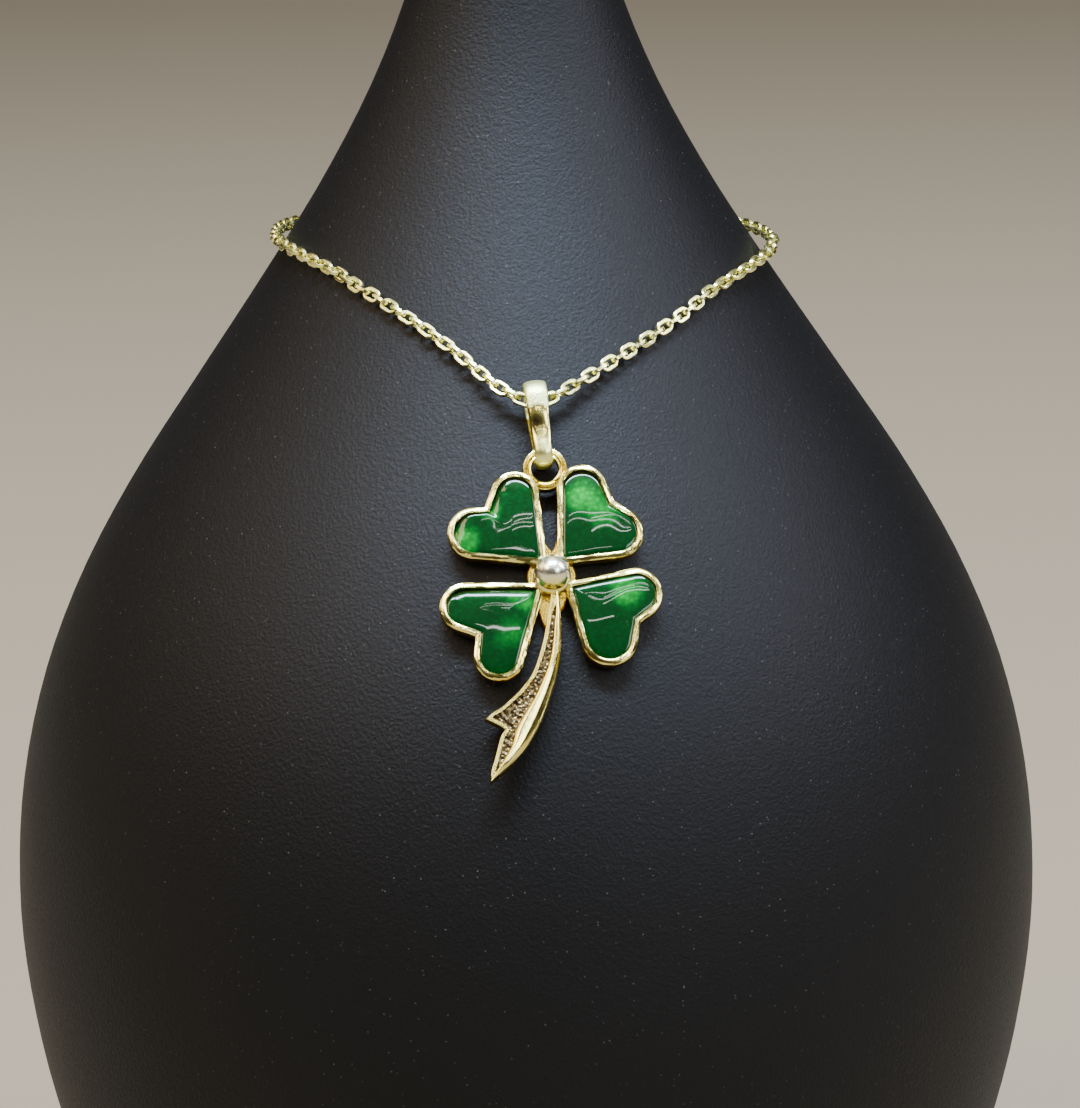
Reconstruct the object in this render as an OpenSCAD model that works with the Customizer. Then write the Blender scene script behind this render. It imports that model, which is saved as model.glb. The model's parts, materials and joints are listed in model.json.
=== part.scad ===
// Four leaf clover pendant in gold and green enamel, on a cable chain closed round a turned display stand.
// The origin is the middle of the stand's flat base, +Z is up and the pendant hangs on the -Y side.

/* [Stand] */
// Height of the stand
stand_h = 168; // [164:0.5:180]
// Greatest diameter of the belly
belly_d = 104.3; // [98:0.1:112]
// Radius of the edge round the base
base_edge_r = 2.5; // [1:0.1:4]

/* [Chain] */
// Wire of a chain link
chain_wire = 0.37; // [0.34:0.01:0.38]
// Outer length of a link
link_l = 2.15; // [2:0.01:2.4]
// Outer width of a link
link_w = 1.42; // [1.4:0.01:1.5]
// Play between two links, and between the chain and the stand
link_play = 0.15; // [0.12:0.01:0.16]
// Greatest sway of the links about the chain's own line, in degrees
link_sway = 42; // [0:1:45]

/* [Clasp] */
// Outer diameter of the clasp's ring
clasp_d = 4.8; // [4.4:0.1:5.6]
// Wire of the clasp's ring
clasp_wire = 1; // [0.8:0.05:1.2]

/* [Bail] */
// Distance between the chain in the bail's top and the ring in its foot
bail_l = 5.14; // [4.6:0.01:6]
// Radius of the opening round the chain
bail_top_r = 1.35; // [1.2:0.01:1.6]
// Radius of the opening round the clover's ring
bail_foot_r = 0.92; // [0.85:0.01:1]
// Wall at the bail's top
bail_top_t = 0.55; // [0.45:0.01:0.65]
// Wall at the bail's foot
bail_foot_t = 0.62; // [0.5:0.01:0.66]
// Width across the bail's top
bail_top_w = 2.1; // [1.8:0.05:2.2]
// Width across the bail's foot
bail_foot_w = 1.65; // [1.4:0.05:1.7]
// Gap between the bail's back and the stand
bail_gap = 0.15; // [0.1:0.01:0.3]

/* [Clover] */
// Reach of the leaves from the middle of the ball
leaf_reach = 10.4; // [10:0.05:11]
// Depth of a leaf cup, front to back
cup_t = 1.3; // [1.1:0.05:1.5]
// Floor of a leaf cup
floor_t = 0.45; // [0.35:0.05:0.6]
// Width of the gold rim round the enamel
rim_w = 0.58; // [0.45:0.01:0.7]
// Diameter of the ball
ball_d = 3.25; // [2.8:0.05:3.6]
// Height of the ball's middle above the rims
ball_rise = 0.85; // [0.6:0.05:1]
// Diameter of the hub that joins the leaves
hub_d = 4.5; // [4:0.1:5]
// Gap between the clover's back and the stand
clover_gap = 0.3; // [0.2:0.05:0.5]

/* [Ring] */
// Hole of the ring soldered between the upper leaves
ring_hole_d = 2.46; // [2.4:0.02:2.6]
// Width of the ring's metal
ring_w = 0.88; // [0.8:0.02:0.94]
// Depth of the ring, front to back
ring_t = 1.16; // [0.96:0.02:1.2]
// Height of the ring's middle above the ball
ring_y = 10.3; // [10.2:0.05:11]
// Sideways place of the ring's middle
ring_x = 0.6; // [0.4:0.05:0.8]

/* [Enamel] */
// Gap between the enamel and its cup
enamel_gap = 0.04; // [0.03:0.01:0.06]
// Rise of the enamel's middle above the rims
enamel_rise = 0.25; // [0.1:0.05:0.4]
// Radius of the enamel's dome
enamel_dome_r = 22; // [18:1:30]

/* [Stem] */
// Drop from the middle of the ball to the stem's long tip
stem_l = 18.7; // [17:0.1:20]
// Thickness of the stem
stem_t = 1.15; // [0.9:0.05:1.3]
// Depth of the stem's recess
recess_t = 0.4; // [0.25:0.05:0.5]
// Rim left round the recess
stem_rim_w = 0.36; // [0.28:0.02:0.42]

/* [Hang] */
// Place of the pendant round the stand, in degrees to the right of the front
hang_az = 2.9; // [0:0.1:5]
// Lean of the pendant in its own plane, with its foot to the right, in degrees
lean = 4.7; // [0:0.1:6]

/* [Hidden] */
$fn = 64;
eps = 0.01;

// The stand's side: height as a share of stand_h, radius as a share of half of belly_d
STAND_ROWS = [
    [0, 0.594], [0.030, 0.696], [0.071, 0.790], [0.131, 0.887], [0.196, 0.951], [0.262, 0.989],
    [0.316, 1.000], [0.381, 0.985], [0.446, 0.937], [0.506, 0.860], [0.565, 0.754], [0.625, 0.624],
    [0.685, 0.492], [0.744, 0.369], [0.804, 0.265], [0.863, 0.191], [0.917, 0.152], [0.958, 0.137]];

// The chain's line: azimuth in degrees from the front, height where it touches the stand,
// share of the bail's lift off the stand
CHAIN_ROUTE = [
    [-177, 118.4, 0.25], [-130, 118.7, 0.1], [-95, 118.9, 0.3], [-75, 118.7, 0.2], [-62, 118.4, 0.1],
    [-50, 117.8, 0], [-42, 117.1, 0], [-30, 115.35, 0], [-19.5, 113.3, 0], [-11.5, 111.1, 0.15],
    [-7.5, 109.5, 0.4], [-4.2, 108.1, 0.7], [-1, 106.95, 0.95], [1.3, 106.45, 1], [4.5, 106.45, 1],
    [6.8, 107, 0.9], [9.9, 107.95, 0.65], [12.6, 108.7, 0.4], [16.8, 109.85, 0.15], [22, 111, 0],
    [30, 112.6, 0], [44, 115, 0.05], [53, 115.9, 0.2], [66, 116.6, 0.45], [85, 117.2, 0.7],
    [130, 117.9, 0.3], [183, 118.4, 0.25]];

// The leaves in the clover's plane, each as bearing from the ball, then distance and radius as
// shares of leaf_reach: tip circle, lobe on the left of the leaf's line, lobe on its right, notch
TIP = 0;
LEFT_LOBE = 1;
RIGHT_LOBE = 2;
NOTCH = 3;
LEAVES = [
    [[50, 0.225, 0.077], [64.9, 0.850, 0.227], [28.7, 0.702, 0.236], [45.1, 0.888]],
    [[119, 0.219, 0.077], [143.7, 0.780, 0.237], [106.9, 0.810, 0.218], [126.6, 0.862]],
    [[215, 0.217, 0.082], [231.1, 0.865, 0.226], [194.4, 0.814, 0.223], [213, 0.876]],
    [[322.4, 0.237, 0.082], [341.5, 0.756, 0.231], [305.1, 0.752, 0.250], [324.9, 0.880]]];

// The stem's edges: drop below the ball and place to the right of it, as shares of stem_l
STEM_LEFT = [[0.06, -0.012], [0.125, -0.025], [0.182, -0.042], [0.246, -0.060], [0.320, -0.083],
    [0.407, -0.118], [0.479, -0.155], [0.548, -0.217], [0.592, -0.271], [0.630, -0.323], [0.655, -0.374]];
STEM_FORK = [[0.682, -0.407], [0.730, -0.335], [0.748, -0.322], [0.770, -0.340]];
STEM_TAIL = [[0.817, -0.360], [0.889, -0.387], [0.936, -0.407], [1, -0.420]];
STEM_RIGHT = [[0.945, -0.337], [0.900, -0.283], [0.847, -0.229], [0.787, -0.182], [0.726, -0.141],
    [0.670, -0.110], [0.588, -0.072], [0.526, -0.044], [0.453, -0.020], [0.379, -0.002],
    [0.279, 0.013], [0.178, 0.022], [0.06, 0.024]];
// The line between the recess and the polished rib on its right
STEM_RIB = [[0.950, -0.385], [0.894, -0.345], [0.824, -0.298], [0.743, -0.264], [0.659, -0.206],
    [0.599, -0.160], [0.519, -0.112], [0.447, -0.074], [0.349, -0.042], [0.250, -0.021], [0.150, 0.001]];
// The webs beside the stem's root, drop and place as above
WEBS = [[0.05, -0.085], [0.245, -0.070], [0.23, -0.04], [0.165, 0.016], [0.165, 0.050], [0.05, 0.080]];

function polar(bearing, distance) = [distance*cos(bearing), distance*sin(bearing)];
function unit(v) = v/norm(v);
wire_fn = 24;
ring_fn = 32;
round_fn = 96;
stand_fn = 128;

// Radius of the stand at a height: the rows joined by a cubic whose slopes come from their neighbours
function row_slope(i) =
    let (a = STAND_ROWS[max(i - 1, 0)], b = STAND_ROWS[min(i + 1, len(STAND_ROWS) - 1)])
    (b[1] - a[1])/(b[0] - a[0]);
function row_below(share, i = 0) =
    i >= len(STAND_ROWS) - 2 || share < STAND_ROWS[i + 1][0] ? i : row_below(share, i + 1);
function stand_r(z) =
    let (share = z/stand_h, i = row_below(share), a = STAND_ROWS[i], b = STAND_ROWS[i + 1],
        step = b[0] - a[0], t = (share - a[0])/step)
    belly_d/2*((1 + 2*t)*(1 - t)*(1 - t)*a[1] + t*(1 - t)*(1 - t)*step*row_slope(i)
        + t*t*(3 - 2*t)*b[1] + t*t*(t - 1)*step*row_slope(i + 1));
slope_span = 1;
function stand_slope(z) = atan((stand_r(z - slope_span/2) - stand_r(z + slope_span/2))/slope_span);

top_row = STAND_ROWS[len(STAND_ROWS) - 1];
neck_h = stand_h*top_row[0];
neck_r = belly_d/2*top_row[1];
side_steps = 60;
dome_steps = 10;
edge_steps = 4;
// The edge round the base is an arc that meets the side where both have the same slope
edge_slope = stand_slope(base_edge_r/2);
edge_h = base_edge_r*(1 + sin(edge_slope));
SIDE = [for (i = [0:side_steps]) let (z = edge_h + (neck_h - edge_h)*i/side_steps) [stand_r(z), z]];

module stand() color("#16151a") rotate_extrude($fn = stand_fn) polygon(concat(
    [[0, 0]],
    [for (i = [0:edge_steps - 1]) SIDE[0] - polar(edge_slope, base_edge_r)
        + polar(-90 + (edge_slope + 90)*i/edge_steps, base_edge_r)],
    SIDE,
    [for (i = [1:dome_steps]) let (a = 90*i/dome_steps)
        [neck_r*cos(a), neck_h + (stand_h - neck_h)*sin(a)]]));

// Where the chain lies
chain_rest = link_w/2 + link_play;
bail_back = bail_top_r + bail_top_t;
bail_lift = bail_back + bail_gap;
ROUTE_HEIGHT = [for (p = CHAIN_ROUTE) [p[0], p[1]]];
ROUTE_LIFT = [for (p = CHAIN_ROUTE) [p[0], chain_rest + p[2]*(bail_lift - chain_rest)]];
function outward(az, z) = let (s = stand_slope(z)) [sin(az)*cos(s), -cos(az)*cos(s), sin(s)];
function route_at(az) =
    let (z = lookup(az, ROUTE_HEIGHT), r = stand_r(z))
    [r*sin(az), -r*cos(az), z] + lookup(az, ROUTE_LIFT)*outward(az, z);
route_start = CHAIN_ROUTE[0][0];
route_step = 0.5;
AZIMUTHS = [for (i = [0:round(360/route_step)]) route_start + i*route_step];
function running(list, i = 0, sum = 0) =
    i >= len(list) ? [] : concat([sum + list[i]], running(list, i + 1, sum + list[i]));
STEPS = [for (i = [0:len(AZIMUTHS) - 1])
    i == 0 ? 0 : norm(route_at(AZIMUTHS[i]) - route_at(AZIMUTHS[i - 1]))];
RUN = running(STEPS);
loop_l = RUN[len(RUN) - 1];
AZ_AT_RUN = [for (i = [0:len(RUN) - 1]) [RUN[i], AZIMUTHS[i]]];
RUN_AT_AZ = [for (i = [0:len(RUN) - 1]) [AZIMUTHS[i], RUN[i]]];
hang_run = lookup(hang_az, RUN_AT_AZ);
// A run along the chain's line, counted from the bail, back to an azimuth and a point
function run_az(s) = let (w = hang_run + s)
    lookup(w < 0 ? w + loop_l : w > loop_l ? w - loop_l : w, AZ_AT_RUN);
function run_point(s) = route_at(run_az(s));

// How the links share the line on each side of the bail
link_reach = link_l/2 - chain_wire/2;
clasp_eye = clasp_d/2 + link_l/2 - clasp_wire/2;
pitch_max = link_l - 2*chain_wire - link_play;
side_links = ceil((loop_l/2 - clasp_eye - pitch_max)/pitch_max);
pitch = (loop_l/2 - clasp_eye)/(side_links + 1);
grip = link_reach - pitch/2;

// A frame on the chain's line: X along the chord between two runs, Z away from the stand
module on_route(from, to, roll) {
    a = run_point(from);
    b = run_point(to);
    mid = (a + b)/2;
    x = unit(b - a);
    n = outward(run_az((from + to)/2), lookup(run_az((from + to)/2), ROUTE_HEIGHT));
    y = unit(cross(n, x));
    z = cross(x, y);
    multmatrix([[x.x, y.x, z.x, mid.x], [x.y, y.y, z.y, mid.y], [x.z, y.z, z.z, mid.z], [0, 0, 0, 1]])
        rotate([roll, 0, 0]) children();
}
// Turn of the sway's wave from one link to the next, in degrees
sway_turn = 11;
function roll_of(i) = 90*((i + 1) % 2) + link_sway*sin(180*i/(side_links + 1))*sin(sway_turn*i);

// A link lies flat in XY, with its length along X
module link() {
    bend = (link_w - chain_wire)/2;
    straight = link_l - link_w;
    for (side = [-1, 1]) {
        translate([side*straight/2, 0, 0]) rotate([0, 0, -90*side])
            rotate_extrude(angle = 180, $fn = wire_fn)
                translate([bend, 0]) circle(d = chain_wire, $fn = wire_fn);
        translate([0, side*bend, 0]) rotate([0, 90, 0])
            cylinder(h = straight, d = chain_wire, center = true, $fn = wire_fn);
    }
}
// Every second link holds its neighbours' ends at its middle, so the pivots lie a grip to one side
module chain() color("#d9c27a") for (i = [-side_links:side_links]) {
    half = pitch/2 + (abs(i) % 2 == 0 ? grip : -grip);
    on_route(i*pitch - half, i*pitch + half, roll_of(abs(i))*sign(i + 0.5)) link();
}

// The clasp: a plain ring with an eye at each end, lying on the back of the stand. Its eyes follow
// the last links as a next link would, and the stand's curve bends them about the link that lies flat
module clasp() color("#d9c27a") {
    even = side_links % 2 == 0;
    last_pivot = (side_links + 0.5)*pitch + (even ? -grip : grip);
    eye_half = pitch/2 + (even ? grip : -grip);
    span = norm(run_point(loop_l - last_pivot) - run_point(last_pivot));
    on_route(last_pivot, loop_l - last_pivot, 0) {
        rotate_extrude() translate([(clasp_d - clasp_wire)/2, 0]) circle(d = clasp_wire, $fn = wire_fn);
        for (side = [-1, 1]) translate([side*(span/2 - eye_half), 0, 0])
            rotate([even ? 0 : 90, 0, 0]) link();
    }
}

// The bail hangs from the middle link. Its back, and then the clover's, lean on the stand:
// the tilt is the least at which a line that starts beside a pivot clears the stand's side below it
function seat_tilt(r, z, side, reach) = max([for (p = SIDE)
    let (d = norm([p[0] - r, z - p[1]])) if (p[1] < z && d > side && d < reach)
    atan2(p[0] - r, z - p[1]) + asin(side/d)]);
hang_z = lookup(hang_az, ROUTE_HEIGHT);
HANG = [stand_r(hang_z) + bail_lift*cos(stand_slope(hang_z)),
    hang_z + bail_lift*sin(stand_slope(hang_z))];
bail_foot_back = bail_foot_r + bail_foot_t;
bail_tilt = stand_slope(hang_z) - asin((bail_back - bail_foot_back)/bail_l);
FOOT = HANG + bail_l*cos(lean)*[sin(bail_tilt), -cos(bail_tilt)];
clover_tilt = seat_tilt(FOOT[0], FOOT[1], cup_t/2 + clover_gap, 2*stem_l);

// Drawings of the pendant have X to the right, Y up to the bail and Z to the front
module hung(at, tilt) rotate([0, 0, hang_az]) translate([0, -at[0], at[1]]) rotate([-tilt, 0, 0])
    rotate([90, 0, 0]) rotate([0, 0, lean]) children();
module clover_place() rotate([0, 0, hang_az])
    translate([bail_l*sin(lean), -FOOT[0], FOOT[1]]) rotate([-clover_tilt, 0, 0])
    rotate([90, 0, 0]) rotate([0, 0, lean]) translate([-ring_x, -foot_y, 0]) children();
foot_y = ring_y + (ring_hole_d + ring_w)/2;

// Outline round two circles one above the other: the top one at the origin
module belt(top, foot, drop) {
    a = asin((top - foot)/drop);
    circle(top, $fn = round_fn);
    translate([0, -drop]) circle(foot, $fn = round_fn);
    polygon([polar(-a, top), polar(180 + a, top),
        polar(180 + a, foot) - [0, drop], polar(-a, foot) - [0, drop]]);
}
// The bail's loop seen from the side, cut to its tapering front view. Both run past its surface
module bail() color("#dcc982") hung(HANG, bail_tilt) intersection() {
    rotate([0, -90, 0]) linear_extrude(2*bail_top_w, center = true) difference() {
        belt(bail_back, bail_foot_back, bail_l);
        belt(bail_top_r, bail_foot_r, bail_l);
    }
    linear_extrude(4*bail_back, center = true) polygon([
        [-bail_foot_w/2, -bail_l - bail_back], [bail_foot_w/2, -bail_l - bail_back],
        [bail_foot_w/2, -bail_l], [bail_top_w/2, 0], [bail_top_w/2, 2*bail_back],
        [-bail_top_w/2, 2*bail_back], [-bail_top_w/2, 0], [-bail_foot_w/2, -bail_l]]);
}

// A leaf's outline, drawn in by an inset: right lobe, notch, left lobe and tip
arc_step = 12;
function arc(middle, r, from, to) =
    let (steps = ceil((to - from)/arc_step))
    [for (i = [0:steps]) middle + polar(from + (to - from)*i/steps, r)];
function bearing(v) = atan2(v.y, v.x);
function after(a, b) = a < b ? after(a + 360, b) : a >= b + 360 ? after(a - 360, b) : a;
function leaf_outline(row, inset) =
    let (
        tip = leaf_reach*polar(row[TIP][0], row[TIP][1]),
        tip_r = leaf_reach*row[TIP][2],
        right = leaf_reach*polar(row[RIGHT_LOBE][0], row[RIGHT_LOBE][1]),
        right_r = leaf_reach*row[RIGHT_LOBE][2],
        left = leaf_reach*polar(row[LEFT_LOBE][0], row[LEFT_LOBE][1]),
        left_r = leaf_reach*row[LEFT_LOBE][2],
        notch = leaf_reach*polar(row[NOTCH][0], row[NOTCH][1]),
        right_side = bearing(right - tip) - acos((tip_r - right_r)/norm(right - tip)),
        left_side = after(bearing(left - tip) + acos((tip_r - left_r)/norm(left - tip)), right_side),
        right_end = after(bearing(notch - right) - acos(right_r/norm(notch - right)), right_side),
        left_start = bearing(notch - left) + acos(left_r/norm(notch - left)),
        pull = polar(right_end, 1) + polar(left_start, 1))
    concat(
        arc(right, right_r - inset, right_side, right_end),
        [notch - inset*pull/(1 + polar(right_end, 1)*polar(left_start, 1))],
        arc(left, left_r - inset, left_start, after(left_side, left_start)),
        arc(tip, max(tip_r - inset, eps), left_side, after(right_side, left_side)));
middle_share = 0.62;
function leaf_middle(row) = leaf_reach*polar(row[NOTCH][0], middle_share*row[NOTCH][1]);

// The stem's edges from the tables, and the recess drawn in from them by the rim
corner_limit = 0.6;
function stem_points(rows) = [for (p = rows) stem_l*[p[1], -p[0]]];
STEM = stem_points(concat(STEM_LEFT, STEM_FORK, STEM_TAIL, STEM_RIGHT));
function drawn_in(points, i, d) =
    let (a = unit(points[i] - points[i - 1]), b = unit(points[i + 1] - points[i]),
        n = [-a.y - b.y, a.x + b.x], m = unit(n))
    points[i] + m*d/max(m*[-a.y, a.x], corner_limit);
left_count = len(STEM_LEFT) + len(STEM_FORK) + len(STEM_TAIL);
RECESS = concat([for (i = [2:left_count - 2]) drawn_in(STEM, i, stem_rim_w)], stem_points(STEM_RIB));

// Heights are counted from the middle of the cups' depth, and the ball stands on a short collar
front = cup_t/2;
hub_t = cup_t - rim_w/2;
web_t = cup_t/2;
module ring_section() {
    side = (ring_t - ring_w)/2;
    for (s = [-1, 1]) translate([0, s*side]) circle(d = ring_w, $fn = ring_fn);
    square([ring_w, 2*side], center = true);
}
module leaf_pockets() for (row = LEAVES)
    translate([0, 0, floor_t - front]) linear_extrude(cup_t) polygon(leaf_outline(row, rim_w));
module clover_frame() color("#e0cd86") clover_place() {
    difference() {
        union() {
            for (row = LEAVES)
                translate([0, 0, -front]) linear_extrude(cup_t) polygon(leaf_outline(row, 0));
            translate([0, 0, -front]) cylinder(d = hub_d, h = hub_t);
            translate([0, 0, -front]) linear_extrude(web_t) polygon(stem_points(WEBS));
            translate([ring_x, ring_y, 0]) rotate_extrude() translate([(ring_hole_d + ring_w)/2, 0])
                ring_section();
        }
        leaf_pockets();
    }
    difference() {
        translate([0, 0, -front]) linear_extrude(stem_t) polygon(STEM);
        translate([0, 0, stem_t - front - recess_t]) linear_extrude(cup_t) polygon(RECESS);
    }
    translate([0, 0, -front]) cylinder(d = ball_d, h = cup_t + ball_rise);
    translate([0, 0, front + ball_rise]) sphere(d = ball_d);
}

// The enamel fills its cup to a gap, domed at the front and cut clear of the ball's collar
module enamel(row) color("#0a7a33") clover_place() difference() {
    intersection() {
        translate([0, 0, floor_t + enamel_gap - front]) linear_extrude(cup_t)
            polygon(leaf_outline(row, rim_w + enamel_gap));
        translate(concat(leaf_middle(row), [front + enamel_rise - enamel_dome_r]))
            sphere(enamel_dome_r, $fn = round_fn);
    }
    translate([0, 0, -front]) cylinder(d = ball_d + 2*enamel_gap, h = 2*cup_t);
}

stand();
chain();
clasp();
bail();
clover_frame();
enamel(LEAVES[0]);  // enamel_top_right
enamel(LEAVES[1]);  // enamel_top_left
enamel(LEAVES[2]);  // enamel_bottom_left
enamel(LEAVES[3]);  // enamel_bottom_right
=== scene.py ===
import json
import math
import random

import bmesh
import bpy
import numpy as np
from mathutils import Matrix, Vector
from mathutils.geometry import delaunay_2d_cdt


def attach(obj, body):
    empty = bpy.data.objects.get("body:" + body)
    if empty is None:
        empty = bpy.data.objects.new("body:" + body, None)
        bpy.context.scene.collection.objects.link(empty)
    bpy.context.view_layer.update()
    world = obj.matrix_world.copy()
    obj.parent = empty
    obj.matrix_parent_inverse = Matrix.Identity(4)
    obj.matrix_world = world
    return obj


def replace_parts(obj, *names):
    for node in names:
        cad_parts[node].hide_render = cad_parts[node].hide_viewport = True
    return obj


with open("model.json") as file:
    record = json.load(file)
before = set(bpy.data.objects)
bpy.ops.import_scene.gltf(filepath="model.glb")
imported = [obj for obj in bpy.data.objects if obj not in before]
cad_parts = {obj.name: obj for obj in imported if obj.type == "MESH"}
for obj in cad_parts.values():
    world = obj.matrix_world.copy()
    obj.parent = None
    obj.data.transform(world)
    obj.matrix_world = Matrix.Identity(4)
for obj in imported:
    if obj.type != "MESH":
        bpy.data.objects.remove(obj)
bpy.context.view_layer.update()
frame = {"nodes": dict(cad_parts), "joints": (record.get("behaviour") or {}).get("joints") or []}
mm = 0.001  # lengths below are in millimetres until they meet this
scene = bpy.context.scene
print("frame loaded")


# small tools

def polar(bearing, distance):
    return Vector((math.cos(math.radians(bearing)), math.sin(math.radians(bearing)))) * distance


def bearingOf(v):
    return math.degrees(math.atan2(v.y, v.x))


def mix(a, b, share):
    return a + (b - a) * share


def addPiece(name, points, faces, body, sharp, place=None):
    mesh = bpy.data.meshes.new(name)
    mesh.from_pydata([Vector(p) * mm for p in points], [], faces)
    work = bmesh.new()
    work.from_mesh(mesh)
    bmesh.ops.remove_doubles(work, verts=work.verts, dist=0.0005 * mm)
    bmesh.ops.recalc_face_normals(work, faces=work.faces)
    work.to_mesh(mesh)
    work.free()
    mesh.shade_smooth()
    mesh.set_sharp_from_angle(angle=math.radians(sharp))
    piece = bpy.data.objects.new(name, mesh)
    scene.collection.objects.link(piece)
    if place is not None:
        piece.matrix_world = place
    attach(piece, body)
    return piece


def dress(piece, material):
    piece.data.materials.append(material)
    return piece


def bandFaces(rows, count, closed=True, first=0):  # quads between rows of count points each
    faces = []
    for row in range(rows - 1):
        a, b = first + row * count, first + (row + 1) * count
        for i in range(count if closed else count - 1):
            j = (i + 1) % count
            faces.append((a + i, a + j, b + j, b + i))
    return faces


def closedBand(rows, count, first=0):  # the same, with the last row joined to the first
    last = first + (rows - 1) * count
    joined = [(last + i, last + (i + 1) % count, first + (i + 1) % count, first + i) for i in range(count)]
    return bandFaces(rows, count, first=first) + joined


def capped(rows, count):  # the same, with its first and last rows filled
    last = (rows - 1) * count
    return bandFaces(rows, count) + [tuple(range(count))[::-1], tuple(range(last, last + count))]


def lathe(profile, steps):  # profile of (radius, height) round Z, ends on the axis or open
    points, rows = [], []
    for radius, height in profile:
        if radius < 1e-6:
            rows.append([len(points)] * steps)
            points.append((0, 0, height))
            continue
        rows.append([len(points) + k for k in range(steps)])
        for k in range(steps):
            turn = 2 * math.pi * k / steps
            points.append((radius * math.cos(turn), radius * math.sin(turn), height))
    faces = []
    for low, high in zip(rows, rows[1:]):
        for k in range(steps):
            n = (k + 1) % steps
            faces.append(tuple(dict.fromkeys((low[k], low[n], high[n], high[k]))))
    return points, faces


def smoothLine(points, perStep):  # an open curve through 2D points
    result = []
    for i, (b, c) in enumerate(zip(points, points[1:])):
        a = points[i - 1] if i else b * 2 - c
        d = points[i + 2] if i + 2 < len(points) else c * 2 - b
        for k in range(perStep):
            t = k / perStep
            result.append((b * 2 + (c - a) * t + (a * 2 - b * 5 + c * 4 - d) * t ** 2
                           + (b * 3 - a - c * 3 + d) * t ** 3) / 2)
    return result + [points[-1].copy()]


def drawnIn(points, inset, sharpest=0.6):  # an outline moved in, each corner from both of its sides
    result = []
    for i, point in enumerate(points):
        a = (point - points[i - 1]).normalized()
        b = (points[(i + 1) % len(points)] - point).normalized()
        inward = Vector((-a.y - b.y, a.x + b.x)).normalized()
        result.append(point + inward * inset / max(inward.dot(Vector((-a.y, a.x))), sharpest))
    return result


def inside(point, outline):
    hit = False
    for a, b in zip(outline, outline[1:] + outline[:1]):
        if (a.y > point.y) != (b.y > point.y):
            if point.x < a.x + (point.y - a.y) * (b.x - a.x) / (b.y - a.y):
                hit = not hit
    return hit


# where the pendant hangs, read from the two hinges

hinges = {joint["name"]: joint for joint in frame["joints"]}
hangPoint = Vector(hinges["bail_swing"]["pos_m"])
hangTurn = math.atan2(hangPoint.x, -hangPoint.y)  # round the stand from the front


def hangingPlane(hinge):  # X to the right, Y up to the chain, Z to the front
    across = Matrix.Rotation(-hangTurn, 3, "Z") @ -Vector(hinge["axis"]).normalized()
    lean = math.atan2(math.hypot(across.y, across.z), across.x)
    tilt = math.atan2(across.y, across.z)
    return (Matrix.Translation(hinge["pos_m"]) @ Matrix.Rotation(hangTurn, 4, "Z")
            @ Matrix.Rotation(math.pi / 2 - tilt, 4, "X") @ Matrix.Rotation(lean, 4, "Z"))


bailPlace = hangingPlane(hinges["bail_swing"])


# camera

cameraLook = {
    "place": (1.86, -384.36, 167.77),
    "downward": 12,
    "roll": 0.8,
    "focal": 3850,  # in pixels of the 1080 x 1108 picture
    "longSide": 1108,
    "sensor": 36,
}


def addCamera(look):
    camera = bpy.data.objects.new("camera", bpy.data.cameras.new("camera"))
    camera.data.sensor_width = look["sensor"]
    camera.data.lens = look["focal"] / look["longSide"] * look["sensor"]
    camera.data.clip_start = 10 * mm
    camera.data.clip_end = 20
    camera.matrix_world = (Matrix.Translation(Vector(look["place"]) * mm)
                           @ Matrix.Rotation(math.radians(90 - look["downward"]), 4, "X")
                           @ Matrix.Rotation(-math.radians(look["roll"]), 4, "Z"))
    scene.collection.objects.link(camera)
    scene.camera = camera


addCamera(cameraLook)
print("camera placed")


# node helpers, and the effects that several finishes share

def newNode(tree, kind, inputs=None, **settings):
    node = tree.nodes.new(kind)
    for key, value in settings.items():
        setattr(node, key, value)
    for key, value in (inputs or {}).items():
        if isinstance(value, bpy.types.NodeSocket):
            tree.links.new(value, node.inputs[key])
        else:
            node.inputs[key].default_value = value
    return node


def mathNode(tree, operation, a, b, clamp=False):
    return newNode(tree, "ShaderNodeMath", {0: a, 1: b}, operation=operation, use_clamp=clamp).outputs[0]


def plus(tree, a, b, clamp=False):
    return mathNode(tree, "ADD", a, b, clamp)


def times(tree, a, b):
    return mathNode(tree, "MULTIPLY", a, b)


def vectorNode(tree, operation, *values):
    return newNode(tree, "ShaderNodeVectorMath", dict(enumerate(values)), operation=operation).outputs


def partOf(tree, vector, axis):
    return newNode(tree, "ShaderNodeSeparateXYZ", {0: vector}).outputs["XYZ".index(axis)]


def cellsNode(tree, place, scale, **settings):
    return newNode(tree, "ShaderNodeTexVoronoi", {"Vector": place, "Scale": scale}, **settings).outputs


def rangeNode(tree, value, low, high, toLow=0.0, toHigh=1.0):
    return newNode(tree, "ShaderNodeMapRange", {"Value": value, "From Min": low, "From Max": high,
                                                "To Min": toLow, "To Max": toHigh}).outputs["Result"]


def noiseNode(tree, place, scale, detail=3.0, roughness=0.5):
    return newNode(tree, "ShaderNodeTexNoise", {"Vector": place, "Scale": scale, "Detail": detail,
                                                "Roughness": roughness}).outputs["Fac"]


def colourMix(tree, share, a, b):
    return newNode(tree, "ShaderNodeMix", {"Factor": share, 6: a, 7: b}, data_type="RGBA",
                   clamp_factor=True).outputs[2]


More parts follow.
